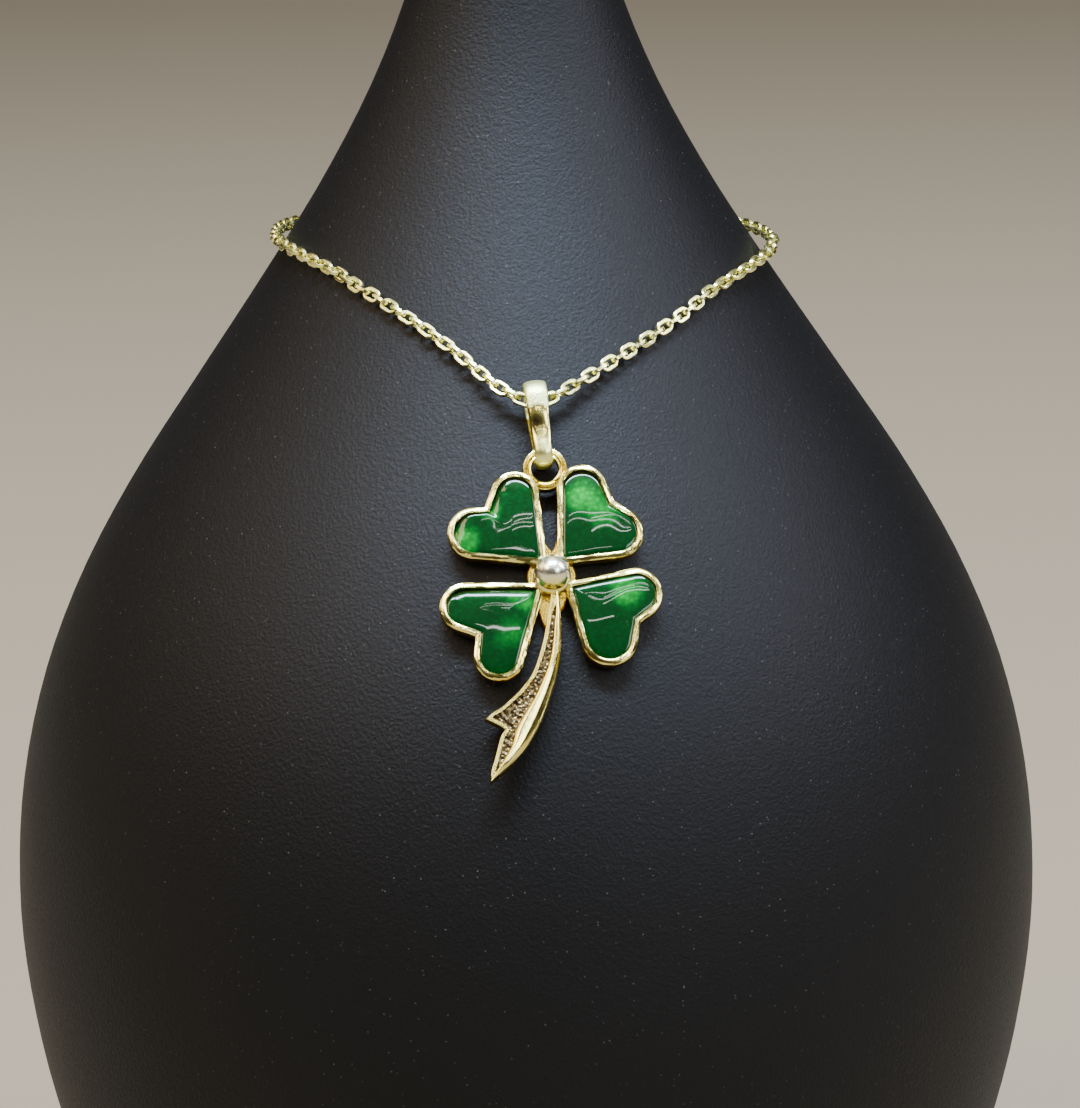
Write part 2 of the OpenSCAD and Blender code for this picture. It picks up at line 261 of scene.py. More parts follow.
def newGroup(name, inputs, outputs):  # inputs with their defaults, beside the Vector that all have
    group = bpy.data.node_groups.new(name, "ShaderNodeTree")
    group.interface.new_socket(name="Vector", in_out="INPUT", socket_type="NodeSocketVector")
    for label, value in inputs.items():
        socket = group.interface.new_socket(name=label, in_out="INPUT", socket_type="NodeSocketFloat")
        socket.default_value = value
    for label in outputs:
        group.interface.new_socket(name=label, in_out="OUTPUT", socket_type="NodeSocketFloat")
    entry = group.nodes.new("NodeGroupInput").outputs
    leave = group.nodes.new("NodeGroupOutput").inputs
    return group, entry, leave


def placeGroup(tree, group, place, values):
    return newNode(tree, "ShaderNodeGroup", {"Vector": place, **values}, node_tree=group).outputs


def makePolishMarks():  # hairline marks of polishing and handling
    inputs = {"Marks Per Metre": 900.0, "Shortness": 0.045, "Width": 0.09, "Share": 0.55, "Amount": 0.5}
    group, entry, leave = newGroup("polishMarks", inputs, ["Mask", "Height"])
    stretch = newNode(group, "ShaderNodeCombineXYZ", {0: 1.0, 1: entry["Shortness"], 2: 1.0}).outputs[0]
    found = None
    for turn in (0.35, 1.3, 2.4):  # three ways that the cloth went
        turned = newNode(group, "ShaderNodeVectorRotate",
                         {"Vector": entry["Vector"], "Angle": turn, "Axis": (0.3, 0.5, 0.8)},
                         rotation_type="AXIS_ANGLE").outputs[0]
        stretched = vectorNode(group, "MULTIPLY", turned, stretch)[0]
        cells = cellsNode(group, stretched, entry["Marks Per Metre"])
        far = mathNode(group, "DIVIDE", cells["Distance"], entry["Width"])
        near = mathNode(group, "SUBTRACT", 1.0, far, clamp=True)
        few = newNode(group, "ShaderNodeSeparateColor", {0: cells["Color"]}).outputs[0]
        line = times(group, near, mathNode(group, "LESS_THAN", few, entry["Share"]))
        found = line if found is None else mathNode(group, "MAXIMUM", found, line)
    group.links.new(times(group, found, entry["Amount"]), leave["Mask"])
    group.links.new(times(group, found, -1.0), leave["Height"])
    return group


def makeDustSpecks():  # lone specks of dust
    inputs = {"Specks Per Metre": 260.0, "Size": 0.03, "Share": 0.25}
    group, entry, leave = newGroup("dustSpecks", inputs, ["Mask"])
    cells = cellsNode(group, entry["Vector"], entry["Specks Per Metre"])
    parts = newNode(group, "ShaderNodeSeparateColor", {0: cells["Color"]}).outputs
    near = mathNode(group, "LESS_THAN", cells["Distance"], times(group, parts[1], entry["Size"]))
    chosen = mathNode(group, "LESS_THAN", parts[0], entry["Share"])
    group.links.new(times(group, near, chosen), leave["Mask"])
    return group


def makeMottle():  # slow and fast change of tone
    inputs = {"Patches Per Metre": 300.0, "Contrast": 1.0}
    group, entry, leave = newGroup("mottle", inputs, ["Tone", "Height"])
    slowShare, faster = 0.65, 5.0  # the slow change's weight, and the fast one's fineness
    slow = noiseNode(group, entry["Vector"], entry["Patches Per Metre"], detail=2.0)
    finer = times(group, entry["Patches Per Metre"], faster)
    fast = noiseNode(group, entry["Vector"], finer, detail=4.0, roughness=0.6)
    both = plus(group, times(group, slow, slowShare), times(group, fast, 1 - slowShare))
    away = times(group, mathNode(group, "SUBTRACT", both, 0.5), entry["Contrast"])
    group.links.new(plus(group, away, 0.5, clamp=True), leave["Tone"])
    group.links.new(fast, leave["Height"])
    return group


def makeHammered():  # small dents of a punch
    group, entry, leave = newGroup("hammered", {"Dents Per Metre": 3500.0}, ["Height", "Hollow"])
    bend, bendsPerMetre = 0.12 * mm, 2500.0  # how far dents stray, and how unevenly
    bottom, edge = 0.1, 0.6  # of a dent, in its cell
    wavy = newNode(group, "ShaderNodeTexNoise", {"Vector": entry["Vector"], "Scale": bendsPerMetre})
    bent = vectorNode(group, "MULTIPLY_ADD", wavy.outputs["Color"], (bend, bend, bend), entry["Vector"])[0]
    cells = cellsNode(group, bent, entry["Dents Per Metre"], feature="SMOOTH_F1")
    group.links.new(cells["Distance"], leave["Height"])
    group.links.new(rangeNode(group, cells["Distance"], bottom, edge), leave["Hollow"])
    return group


polishMarks = makePolishMarks()
dustSpecks = makeDustSpecks()
mottle = makeMottle()
hammered = makeHammered()
usualTones = (0.2, 0.8)  # most of a mottle lies between these


def newMaterial(name, **sockets):
    material = bpy.data.materials.new(name)
    material.use_nodes = True
    tree = material.node_tree
    shader = tree.nodes["Principled BSDF"]
    for key, value in sockets.items():
        shader.inputs[key].default_value = value
    place = newNode(tree, "ShaderNodeTexCoord").outputs["Object"]
    return material, tree, shader.inputs, place


def bumpInto(tree, sockets, height, distance, strength, normal=None):
    bump = newNode(tree, "ShaderNodeBump", {"Height": height, "Distance": distance, "Strength": strength})
    if normal is not None:
        tree.links.new(normal, bump.inputs["Normal"])
    tree.links.new(bump.outputs[0], sockets["Normal"])
    return bump.outputs[0]


goldFinish = {"contrast": 1.6, "markRough": 0.15, "waveStrength": 0.6, "markDepth": 0.002,
              "markStrength": 0.5}


def makeGold(name, look):  # polished gold with hairlines and a slow change of tone
    look = dict(goldFinish, **look)
    material, tree, sockets, place = newMaterial(name, Metallic=1.0)
    tone = placeGroup(tree, mottle, place,
                      {"Patches Per Metre": look["patches"], "Contrast": look["contrast"]})
    marks = placeGroup(tree, polishMarks, place,
                       {"Marks Per Metre": look["marks"], "Amount": look["markAmount"]})
    colour = colourMix(tree, tone["Tone"], look["deep"], look["pale"])
    if "wall" in look:  # the file and the wheel don't reach down the sides; the deeper, darker yellow there is also painted shade on the low walls, the webs and the hub
        polishedAndLit = rangeNode(tree, partOf(tree, place, "Z"), look["wallLow"] * mm, look["wallHigh"] * mm)
        colour = colourMix(tree, polishedAndLit, look["wall"], colour)
    tree.links.new(colour, sockets["Base Color"])
    gloss = rangeNode(tree, tone["Tone"], *usualTones, look["roughLow"], look["roughHigh"])
    tree.links.new(plus(tree, gloss, times(tree, marks["Mask"], look["markRough"])), sockets["Roughness"])
    wavy = bumpInto(tree, sockets, tone["Height"], look["waves"] * mm, look["waveStrength"])
    bumpInto(tree, sockets, marks["Height"], look["markDepth"] * mm, look["markStrength"], wavy)
    return material, tree, sockets, place


def nowIn(sockets, name):  # what feeds a socket so far
    return sockets[name].links[0].from_socket


rimGoldLook = {
    # wall: a deeper, darker yellow low down, partly painted shade
    "deep": (0.80, 0.64, 0.13, 1), "pale": (0.95, 0.93, 0.35, 1), "wall": (0.68, 0.49, 0.06, 1),
    "wallLow": 0.05, "wallHigh": 0.5, "patches": 500.0, "marks": 1400.0, "markAmount": 0.5,
    "roughLow": 0.11, "roughHigh": 0.24, "waves": 0.03,
}
chainGoldLook = {
    "deep": (0.92, 0.86, 0.26, 1), "pale": (0.98, 1.0, 0.50, 1), "patches": 700.0, "marks": 1800.0,
    "markAmount": 0.4, "roughLow": 0.17, "roughHigh": 0.32, "waves": 0.01,
}
rimGold = makeGold("rimGold", rimGoldLook)[0]
chainGold = makeGold("chainGold", chainGoldLook)[0]
print("shared effects and golds made")


# stand

standShape = {"steps": 256, "axis": 0.5}  # points nearer the axis than this are left out
standLook = {
    "black": (0.0002, 0.0002, 0.0003, 1),
    "worn": (0.0010, 0.0009, 0.0010, 1),
    "dust": (0.30, 0.28, 0.25, 1),
    "specular": 0.2, "rough": (0.46, 0.62),
    "tone": {"Patches Per Metre": 60.0, "Contrast": 1.8},
    "specks": {"Specks Per Metre": 1900.0, "Size": 0.15, "Share": 0.7}, "speckAmount": 0.16,
    "marks": {"Marks Per Metre": 110.0, "Shortness": 0.3, "Width": 0.014, "Share": 0.16, "Amount": 1.0},
    "markAmount": 0.35,
    "pebbles": 2600.0, "fineGrains": 4420.0,  # in a metre
    "pebbleShare": 0.5, "fineSpan": (0.3, 0.7), "grainDepth": 0.12, "grainStrength": 0.5,
}


def standProfile():  # heights and radii of the turned side
    solid = frame["nodes"]["stand"].data
    found = {}
    for vertex in solid.vertices:
        height = round(vertex.co.z / mm, 3)
        found[height] = max(found.get(height, 0), math.hypot(vertex.co.x, vertex.co.y) / mm)
    return sorted(found.items())


def makeStandBody(shape):
    profile = standProfile()
    side = [(radius, height) for height, radius in profile if radius > shape["axis"]]
    points, faces = lathe([(0, profile[0][0])] + side + [(0, profile[-1][0])], shape["steps"])
    return addPiece("standBody", points, faces, "display", sharp=60)


def makeStandBlack(look):
    material, tree, sockets, place = newMaterial("standBlack", **{"Specular IOR Level": look["specular"]})
    tone = placeGroup(tree, mottle, place, look["tone"])
    specks = placeGroup(tree, dustSpecks, place, look["specks"])
    marks = placeGroup(tree, polishMarks, place, look["marks"])
    pebbles = newNode(tree, "ShaderNodeTexVoronoi",
                      {"Vector": place, "Scale": look["pebbles"], "Smoothness": 0.5},
                      feature="SMOOTH_F1").outputs["Distance"]
    fine = noiseNode(tree, place, look["fineGrains"], detail=4.0, roughness=0.6)
    height = plus(tree, times(tree, pebbles, look["pebbleShare"]), fine)
    colour = colourMix(tree, tone["Tone"], look["black"], look["worn"])
    colour = colourMix(tree, times(tree, marks["Mask"], look["markAmount"]), colour, look["dust"])
    colour = colourMix(tree, times(tree, specks["Mask"], look["speckAmount"]), colour, look["dust"])
    tree.links.new(colour, sockets["Base Color"])
    tree.links.new(rangeNode(tree, fine, *look["fineSpan"], *look["rough"]), sockets["Roughness"])
    bumpInto(tree, sockets, height, look["grainDepth"] * mm, look["grainStrength"])
    return material


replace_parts(dress(makeStandBody(standShape), makeStandBlack(standLook)), "stand")
print("stand turned")


# chain and clasp

linkShape = {"length": 2.15, "width": 1.42, "wire": 0.43, "flatOutside": 0.80, "flatFace": 0.84,
             "arcSteps": 9, "sideSteps": 2, "wireSteps": 14}
claspShape = {"ring": 4.8, "wire": 1.0, "ringSteps": 64, "wireSteps": 18}


def looseParts(node):  # the corner points of each loose solid in a node
    mesh = frame["nodes"][node].data
    places, number = {}, []
    for vertex in mesh.vertices:
        key = tuple(round(c / mm, 4) for c in vertex.co)
        number.append(places.setdefault(key, len(places)))
    parent = list(range(len(places)))

    def root(i):
        while parent[i] != i:
            parent[i] = parent[parent[i]]
            i = parent[i]
        return i

    for edge in mesh.edges:
        a, b = (root(number[v]) for v in edge.vertices)
        if a != b:
            parent[a] = b
    parts = {}
    for key, index in places.items():
        parts.setdefault(root(index), []).append(key)
    return [np.array(part) for part in parts.values()]


def lyingOf(points):  # middle and the long, wide and thin directions of a solid
    directions = np.linalg.eigh(np.cov((points - points.mean(0)).T))[1]
    long, wide = directions[:, 2], directions[:, 1]
    thin = np.cross(long, wide)
    spans = [(points @ d) for d in (long, wide, thin)]
    middle = sum(d * (s.min() + s.max()) / 2 for d, s in zip((long, wide, thin), spans))
    return middle, long, wide, thin, [s.max() - s.min() for s in spans]


def linkPath(shape):  # middle line of a link, each point with its outward direction
    bend, straight = (shape["width"] - shape["wire"]) / 2, shape["length"] - shape["width"]
    path = []
    for side in (1, -1):
        for k in range(shape["arcSteps"] + 1):
            out = polar(-90 * side + 180 * k / shape["arcSteps"], 1)
            path.append((Vector((side * straight / 2, 0)) + out * bend, out))
        for k in range(1, shape["sideSteps"]):
            x = side * straight * (0.5 - k / shape["sideSteps"])
            path.append((Vector((x, side * bend)), Vector((0, side))))
    return path


def filedReach(shape, turn):  # how far a wire reaches where it is filed flat outside and on its faces
    reach = radius = shape["wire"] / 2
    for flat, across in ((shape["flatOutside"], math.cos(turn)), (shape["flatFace"], abs(math.sin(turn)))):
        if across > 0.01:
            reach = min(reach, flat * radius / across)
    return reach


def addLink(points, faces, path, shape, middle, long, wide, thin):
    first, steps = len(points), shape["wireSteps"]
    for at, out in path:
        for k in range(steps):
            turn = 2 * math.pi * (k + 0.5) / steps
            reach = filedReach(shape, turn)
            flat = at + out * (reach * math.cos(turn))
            points.append(middle + long * flat.x + wide * flat.y + thin * (reach * math.sin(turn)))
    faces.extend(closedBand(len(path), steps, first))


def makeChainLinks(shape):
    path = linkPath(shape)
    points, faces = [], []
    for part in looseParts("chain"):
        addLink(points, faces, path, shape, *lyingOf(part)[:4])
    return addPiece("chainLinks", points, faces, "display", sharp=28)


def makeClaspRing(shape, link):
    middle, long, wide, thin, spans = lyingOf(np.concatenate(looseParts("clasp")))
    points, faces = [], []
    steps = shape["ringSteps"]
    circle = [(polar(360 * k / steps, (shape["ring"] - shape["wire"]) / 2), polar(360 * k / steps, 1))
              for k in range(steps)]
    ringWire = dict(link, wire=shape["wire"], flatOutside=1, flatFace=1, wireSteps=shape["wireSteps"])
    addLink(points, faces, circle, ringWire, middle, long, wide, thin)
    for side in (1, -1):
        eye = middle + long * side * (spans[0] - link["length"]) / 2
        addLink(points, faces, linkPath(link), link, eye, long, wide, thin)
    return addPiece("claspRing", points, faces, "display", sharp=28)


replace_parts(dress(makeChainLinks(linkShape), chainGold), "chain")
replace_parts(dress(makeClaspRing(claspShape, linkShape), chainGold), "clasp")
print("chain linked")


# bail

bailShape = {
    "drop": 5.14, "topRadius": 1.35, "footRadius": 0.92, "topWall": 0.55, "footWall": 0.62,
    "topWidth": 2.1, "footWidth": 1.65, "arcSteps": 24, "sideSteps": 36, "crownSteps": 18,
    "inside": (0.2, 0.47),  # flat inner side, in widths
    "shoulder": 0.22, "crownPower": 0.6,  # the wall at the band's edges, and its crown's fullness
    "waist": 0.22, "waistFrom": -1.5, "waistTo": -5.0,
    "dimple": 0.15, "dimpleAt": (-0.1, -2.8), "dimpleSize": (0.42, 0.70),
}


def bailHollow(shape, x, y):  # share of the wall that the waist and a dimple take from its front
    along = min(max((shape["waistFrom"] - y) / (shape["waistFrom"] - shape["waistTo"]), 0), 1)
    (middleX, middleY), (halfX, halfY) = shape["dimpleAt"], shape["dimpleSize"]
    spot = math.exp(-((x - middleX) / halfX) ** 2 - ((y - middleY) / halfY) ** 2)
    return shape["waist"] * math.sin(math.pi * along) ** 2 + shape["dimple"] * spot


def makeBailLoop(shape):
    drop = shape["drop"]
    slant = math.degrees(math.asin((shape["topRadius"] + shape["topWall"] - shape["footRadius"]
                                    - shape["footWall"]) / drop))
    shares = [k / shape["arcSteps"] for k in range(shape["arcSteps"] + 1)]
    # stations of centre height, inner radius, wall and bearing
    top = [(0, shape["topRadius"], shape["topWall"], mix(-slant, 180 + slant, k)) for k in shares]
    foot = [(-drop, shape["footRadius"], shape["footWall"], mix(180 + slant, 360 - slant, k))
            for k in shares]
    stations = []
    for bend, nextOne in ((top, foot[0]), (foot, (*top[0][:3], top[0][3] + 360))):
        stations += bend
        for k in range(1, shape["sideSteps"]):
            share = k / shape["sideSteps"]
            stations.append(tuple(mix(a, b, share) for a, b in zip(bend[-1], nextOne)))
    points = []
    section = [(-across, 0.0) for across in shape["inside"]]  # share of the width, share of the wall
    for k in range(shape["crownSteps"] + 1):
        crown = polar(180 - 180 * k / shape["crownSteps"], 1)
        section.append((crown.x / 2, mix(shape["shoulder"], 1, abs(crown.y) ** shape["crownPower"])))
    section += [(across, 0.0) for across in reversed(shape["inside"])]
    for centre, inner, wall, turn in stations:
        out = polar(turn, 1)  # x of this runs to the front, y runs up
        for across, thick in section:
            at = Vector((0, centre)) + out * (inner + wall * thick)
            share = min(max(-at.y / drop, 0), 1)
            width = mix(shape["topWidth"], shape["footWidth"], share)
            if at.x > 0 and thick > 0:
                at.x -= wall * thick * bailHollow(shape, across * width, at.y)
            points.append((across * width, at.y, at.x))
    faces = closedBand(len(stations), len(section))
    return addPiece("bailLoop", points, faces, "bail", place=bailPlace, sharp=32)


def makeBailGold(look):  # frosted round the top, brushed at the foot, with a dark reflection painted into the dimple between them
    material, tree, sockets, place = makeGold("bailGold", look)
    uneven = times(tree, noiseNode(tree, place, look["unevenPerMetre"]), look["unevenBy"] * mm)
    edge = plus(tree, partOf(tree, place, "Y"), uneven)
    frosted, brushed = (rangeNode(tree, edge, start * mm, end * mm)
                        for start, end in (look["frostY"], look["brushY"]))
    # painted reflection: a dark spot in the dimple
    long = Vector(look["paintedReflectionLong"])
    away = vectorNode(tree, "DISTANCE", vectorNode(tree, "MULTIPLY", place, long)[0],
                      Vector(look["paintedReflectionAt"]) * long * mm)["Value"]
    paintedReflectionShare = rangeNode(tree, plus(tree, away, uneven), look["paintedReflectionSize"] * mm, look["paintedReflectionSize"] / 2 * mm,
                        0.0, look["paintedReflectionAmount"])
    base = colourMix(tree, paintedReflectionShare, nowIn(sockets, "Base Color"), look["paintedReflection"])
    base = colourMix(tree, brushed, base, look["brushed"])
    tree.links.new(colourMix(tree, frosted, base, look["frost"]), sockets["Base Color"])
    extra = plus(tree, times(tree, frosted, look["frostRough"]), times(tree, brushed, look["brushRough"]))
    tree.links.new(plus(tree, nowIn(sockets, "Roughness"), extra), sockets["Roughness"])
    sparkle = times(tree, noiseNode(tree, place, look["sparkles"], detail=2.0), frosted)
    bumpInto(tree, sockets, sparkle, look["sparkleDepth"] * mm, look["sparkleStrength"],
             nowIn(sockets, "Normal"))
    return material


bailLook = dict(
    # wall: the back of the bail a deeper yellow, partly painted shade
    rimGoldLook, wall=(0.70, 0.55, 0.18, 1), wallLow=-0.6, wallHigh=0.2, waves=0.012,
    unevenBy=0.8, unevenPerMetre=1500.0,
    frost=(0.90, 0.95, 0.42, 1), frostY=(-0.9, -0.6), frostRough=0.25,
    sparkles=4500.0, sparkleDepth=0.05, sparkleStrength=0.8,
    brushed=(0.97, 0.98, 0.36, 1), brushY=(-3.5, -4.7), brushRough=0.14,
    # a dark reflection painted into the dimple
    paintedReflection=(0.10, 0.055, 0.025, 1), paintedReflectionAt=(-0.25, -2.8, 1.55), paintedReflectionLong=(1.0, 0.7, 1.0),
    paintedReflectionSize=1.15, paintedReflectionAmount=0.9,
)
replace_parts(dress(makeBailLoop(bailShape), makeBailGold(bailLook)), "bail")
print("bail bent")


# clover, in its own plane
# a leaf's circles are given as bearing, distance and radius, the last two in shares of the reach
# crest: where its enamel is highest, from the leaf's middle
# slump: the side where the enamel's edge is rounder, and by how much

cloverShape = {
    "reach": 10.4, "floor": -0.2, "ringAt": (0.6, 10.3),
    "hub": [(0, -0.65), (2.19, -0.65), (2.25, -0.58), (2.25, -0.37), (2.13, -0.25), (0, -0.25)],
    "hubSteps": 64,
    "ballRadius": 1.625, "ballHeight": 1.5, "ballRows": 24, "ballSteps": 72, "back": -0.65,
    "collar": [(1.66, -0.6), (1.74, 0.15), (1.74, 0.32), (1.68, 0.48), (1.56, 0.62), (1.42, 0.70)],
    "slotWeb": [(-0.65, 1.5), (1.25, 1.5), (1.25, 3.45), (0.80, 3.35), (0.52, 2.75), (0.30, 2.48),
                (0.08, 2.75), (-0.20, 3.35), (-0.65, 3.45)],  # solder between the upper leaves
    "slotWebTop": 0.1, "webChamfer": (0.05, 0.06), "webBevel": 0.12,  # at a web's back and front
    "leaves": {
        "TopRight": {"tip": (50, 0.225, 0.077), "left": (64.9, 0.850, 0.227),
                     "right": (28.7, 0.702, 0.236), "notch": (45.1, 0.888), "crest": (0.2, -0.8),
                     "slump": (90, 0.0)},
        "TopLeft": {"tip": (119, 0.219, 0.077), "left": (143.7, 0.780, 0.237),
                    "right": (106.9, 0.810, 0.218), "notch": (126.6, 0.862), "crest": (0.3, -0.3),
                    "slump": (160, 0.32)},
        "BottomLeft": {"tip": (215, 0.217, 0.082), "left": (231.1, 0.865, 0.226),
                       "right": (194.4, 0.814, 0.223), "notch": (213, 0.876), "crest": (-0.2, -0.4),
                       "slump": (98, 0.34)},
        "BottomRight": {"tip": (322.4, 0.237, 0.082), "left": (341.5, 0.756, 0.231),
                        "right": (305.1, 0.752, 0.250), "notch": (324.9, 0.880), "crest": (0.2, -0.3),
                        "slump": (112, 0.16)},
    },
}
ringShape = {
    "hole": 1.23, "width": 0.88, "steps": 72,
    "section": [(0.06, -0.54), (0.0, -0.35), (0.0, 0.28), (0.03, 0.44), (0.10, 0.53), (0.20, 0.50),
                (0.29, 0.33), (0.36, 0.20), (0.44, 0.16), (0.52, 0.22), (0.59, 0.38), (0.66, 0.52),
                (0.76, 0.50), (0.84, 0.40), (0.88, 0.22), (0.88, -0.35), (0.81, -0.53),
                (0.44, -0.58)],  # out from the hole, height
}
rimShape = {
    "section": [(0.08, -0.65), (0.0, -0.57), (0.0, 0.34), (0.03, 0.45), (0.11, 0.53), (0.25, 0.59),
                (0.40, 0.62), (0.49, 0.61), (0.55, 0.53), (0.58, 0.38), (0.58, -0.2)],  # inset, height
    "filed": (3, 4, 5, 6, 7), "filedOff": 0.03,  # rows that the file has touched, and what it took
    "facet": (0.7, 1.9), "inset": 0.035, "height": 0.045, "step": 6, "longest": 0.35, "seed": 11,
}
enamelShape = {
    "inset": 0.565, "top": 0.68, "domeRadius": 38, "shoulder": 0.9, "shoulderWidth": 0.12,
    "middle": 0.62, "waves": ((0.9, 0.5, 0.4), (-0.5, 1.2, 2.0), (1.5, -0.8, 4.0)),
    "wave": 0.011, "waveFrom": 0.6, "edgeShares": (1, 0.99, 0.98, 0.965, 0.945),
    "inner": 0.92, "step": 0.035, "longest": 0.16,
}

footY = cloverShape["ringAt"][1] + ringShape["hole"] + ringShape["width"] / 2
cloverPlace = (hangingPlane(hinges["clover_swing"])
               @ Matrix.Translation(Vector((-cloverShape["ringAt"][0], -footY, 0)) * mm))


def addToClover(name, points, faces, sharp):
    return addPiece(name, points, faces, "clover", place=cloverPlace, sharp=sharp)


def gilded(piece):
    return dress(piece, rimGold)


def turnedPast(a, b):  # the same bearing as a, in the turn that starts at b
    return b + (a - b) % 360


def arc(middle, radius, start, end, step):
    steps = math.ceil((end - start) / step)
    return [middle + polar(mix(start, end, i / steps), radius) for i in range(steps + 1)]


def leafOutline(leaf, inset):
    reach, step = cloverShape["reach"], rimShape["step"]
    tip, left, right, notch = (polar(leaf[k][0], reach * leaf[k][1])
                               for k in ("tip", "left", "right", "notch"))
    tipR, leftR, rightR = (reach * leaf[k][2] for k in ("tip", "left", "right"))

    def sideTurn(a, b, share):
        return math.degrees(math.acos(share / (b - a).length))

    rightSide = bearingOf(right - tip) - sideTurn(tip, right, tipR - rightR)
    leftSide = turnedPast(bearingOf(left - tip) + sideTurn(tip, left, tipR - leftR), rightSide)
    rightEnd = turnedPast(bearingOf(notch - right) - sideTurn(right, notch, rightR), rightSide)
    leftStart = bearingOf(notch - left) + sideTurn(left, notch, leftR)
    pull = polar(rightEnd, 1) + polar(leftStart, 1)
    corner = notch - pull * inset / (1 + polar(rightEnd, 1).dot(polar(leftStart, 1)))
    return (arc(right, rightR - inset, rightSide, rightEnd, step) + [corner]
            + arc(left, leftR - inset, leftStart, turnedPast(leftSide, leftStart), step)
            + arc(tip, max(tipR - inset, 0.01), leftSide, turnedPast(rightSide, leftSide), step))


def evened(outlines, longest):  # the same extra points on each outline, where the first one has long steps
    first = outlines[0]
    count = len(first)
    cuts = [max(1, math.ceil((first[(i + 1) % count] - first[i]).length / longest)) for i in range(count)]
    return [[mix(line[i], line[(i + 1) % count], k / cuts[i])
             for i in range(count) for k in range(cuts[i])] for line in outlines]


def filedMarks(line, chooser, facet, amount):  # values that change along a line in uneven facets
    lengths = [0.0]
    for a, b in zip(line, line[1:] + line[:1]):
        lengths.append(lengths[-1] + (b - a).length)
    stops, values = [0.0], [chooser.uniform(-amount, amount)]
    while stops[-1] < lengths[-1]:
        stops.append(stops[-1] + chooser.uniform(*facet))
        values.append(chooser.uniform(-amount, amount))
    stops[-1], values[-1] = lengths[-1], values[0]
    return np.interp(lengths[:-1], stops, values)


def makeLeafCup(name, leaf, shape, number):
    chooser = random.Random(shape["seed"] + number)
    insets = [0] + [inset for inset, height in shape["section"]]
    outer, *rows = evened([leafOutline(leaf, inset) for inset in insets], shape["longest"])
    points = []
    for index, (row, (inset, height)) in enumerate(zip(rows, shape["section"])):
        shift = lift = np.zeros(len(row))
        if index in shape["filed"]:
            shift = filedMarks(outer, chooser, shape["facet"], shape["inset"])
            lift = filedMarks(outer, chooser, shape["facet"], shape["height"]) - shape["filedOff"]
        for i, point in enumerate(row):
            inward = (rows[-1][i] - outer[i]).normalized()
            points.append((*(point + inward * shift[i]), height + lift[i]))
    faces = capped(len(rows), len(outer))
    return addToClover("leafCup" + name, points, faces, sharp=24)


def edgeOffsets(points, outline):  # from each point to the nearest side of an outline
    points, starts = np.array(points)[:, None], np.array(outline)[None]
    ends = np.roll(starts, -1, axis=1)
    along = ends - starts
    share = np.clip(((points - starts) * along).sum(2) / (along * along).sum(2), 0, 1)
    away = starts + along * share[..., None] - points
    nearest = (away ** 2).sum(2).argmin(1)
    return [Vector(offset) for offset in away[np.arange(len(away)), nearest]]


def enamelHeight(shape, slump, at, crest, toEdge):  # a low dome with rounded edges and slow waves
    sag = (at - crest).length_squared / (2 * shape["domeRadius"])
    fromEdge = toEdge.length
    facing = max(0, toEdge.dot(polar(slump[0], 1))) / max(fromEdge, 0.001)
    width = shape["shoulderWidth"] + slump[1] * facing ** 4
    shoulder = shape["shoulder"] * width * math.exp(-fromEdge / width)
    wave = sum(math.sin(at.x * x + at.y * y + start) for x, y, start in shape["waves"]) * shape["wave"]
    return shape["top"] - sag - shoulder + wave * (1 - math.exp(-fromEdge / shape["waveFrom"]))


def makeEnamel(name, leaf, shape):
    outline = evened([leafOutline(leaf, 0), leafOutline(leaf, shape["inset"])], shape["longest"])[1]
    middle = polar(leaf["notch"][0], cloverShape["reach"] * leaf["notch"][1] * shape["middle"])
    shares = list(shape["edgeShares"]) + list(np.arange(shape["inner"], shape["step"] / 2, -shape["step"]))
    flat = [mix(middle, p, share) for share in shares for p in outline] + [middle]
    offsets = edgeOffsets([tuple(p) for p in flat], [tuple(p) for p in outline])
    crest = middle + Vector(leaf["crest"])
    points = [(*p, cloverShape["floor"]) for p in outline]
    points += [(*p, enamelHeight(shape, leaf["slump"], p, crest, offset))
               for p, offset in zip(flat, offsets)]
    count = len(outline)
    last = len(shares) * count
    faces = bandFaces(len(shares) + 1, count)
    faces += [(last + i, last + (i + 1) % count, len(points) - 1) for i in range(count)]
    faces.append(tuple(range(count))[::-1])
    return addToClover("enamel" + name, points, faces, sharp=60)


enamelLook = {
    "deep": (0.0, 0.013, 0.002, 1),
    "bright": (0.0, 0.27, 0.027, 1),
    "shader": {"Metallic": 0.25, "Specular IOR Level": 0.0, "Coat Weight": 1.0, "Coat Roughness": 0.03,
               "Coat IOR": 1.4},
    "tone": {"Patches Per Metre": 420.0, "Contrast": 2.0}, "dents": {"Dents Per Metre": 2600.0},
    "toneReach": (0.5, 1.5), "dentReach": (1.35, 0.7), "rough": (0.42, 0.30), "grainDepth": 0.04,
    "grainStrength": 0.35, "bend": 1.6, "wavy": 450.0, "lowest": 0.045, "paintedLightHeight": 0.7,
    # place, radius and strength of the spots of painted light on the floor
    "paintedLightSpots": [((3.7, 7.2), 2.4, 0.54), ((5.4, 5.5), 2.2, 0.44), ((-7.6, 4.2), 2.3, 0.55),
              ((-4.8, 6.8), 1.5, 0.35), ((-2.9, -2.2), 1.8, 0.55), ((-4.3, -5.2), 2.2, 0.25),
              ((6.7, -2.2), 2.1, 0.5)],
}


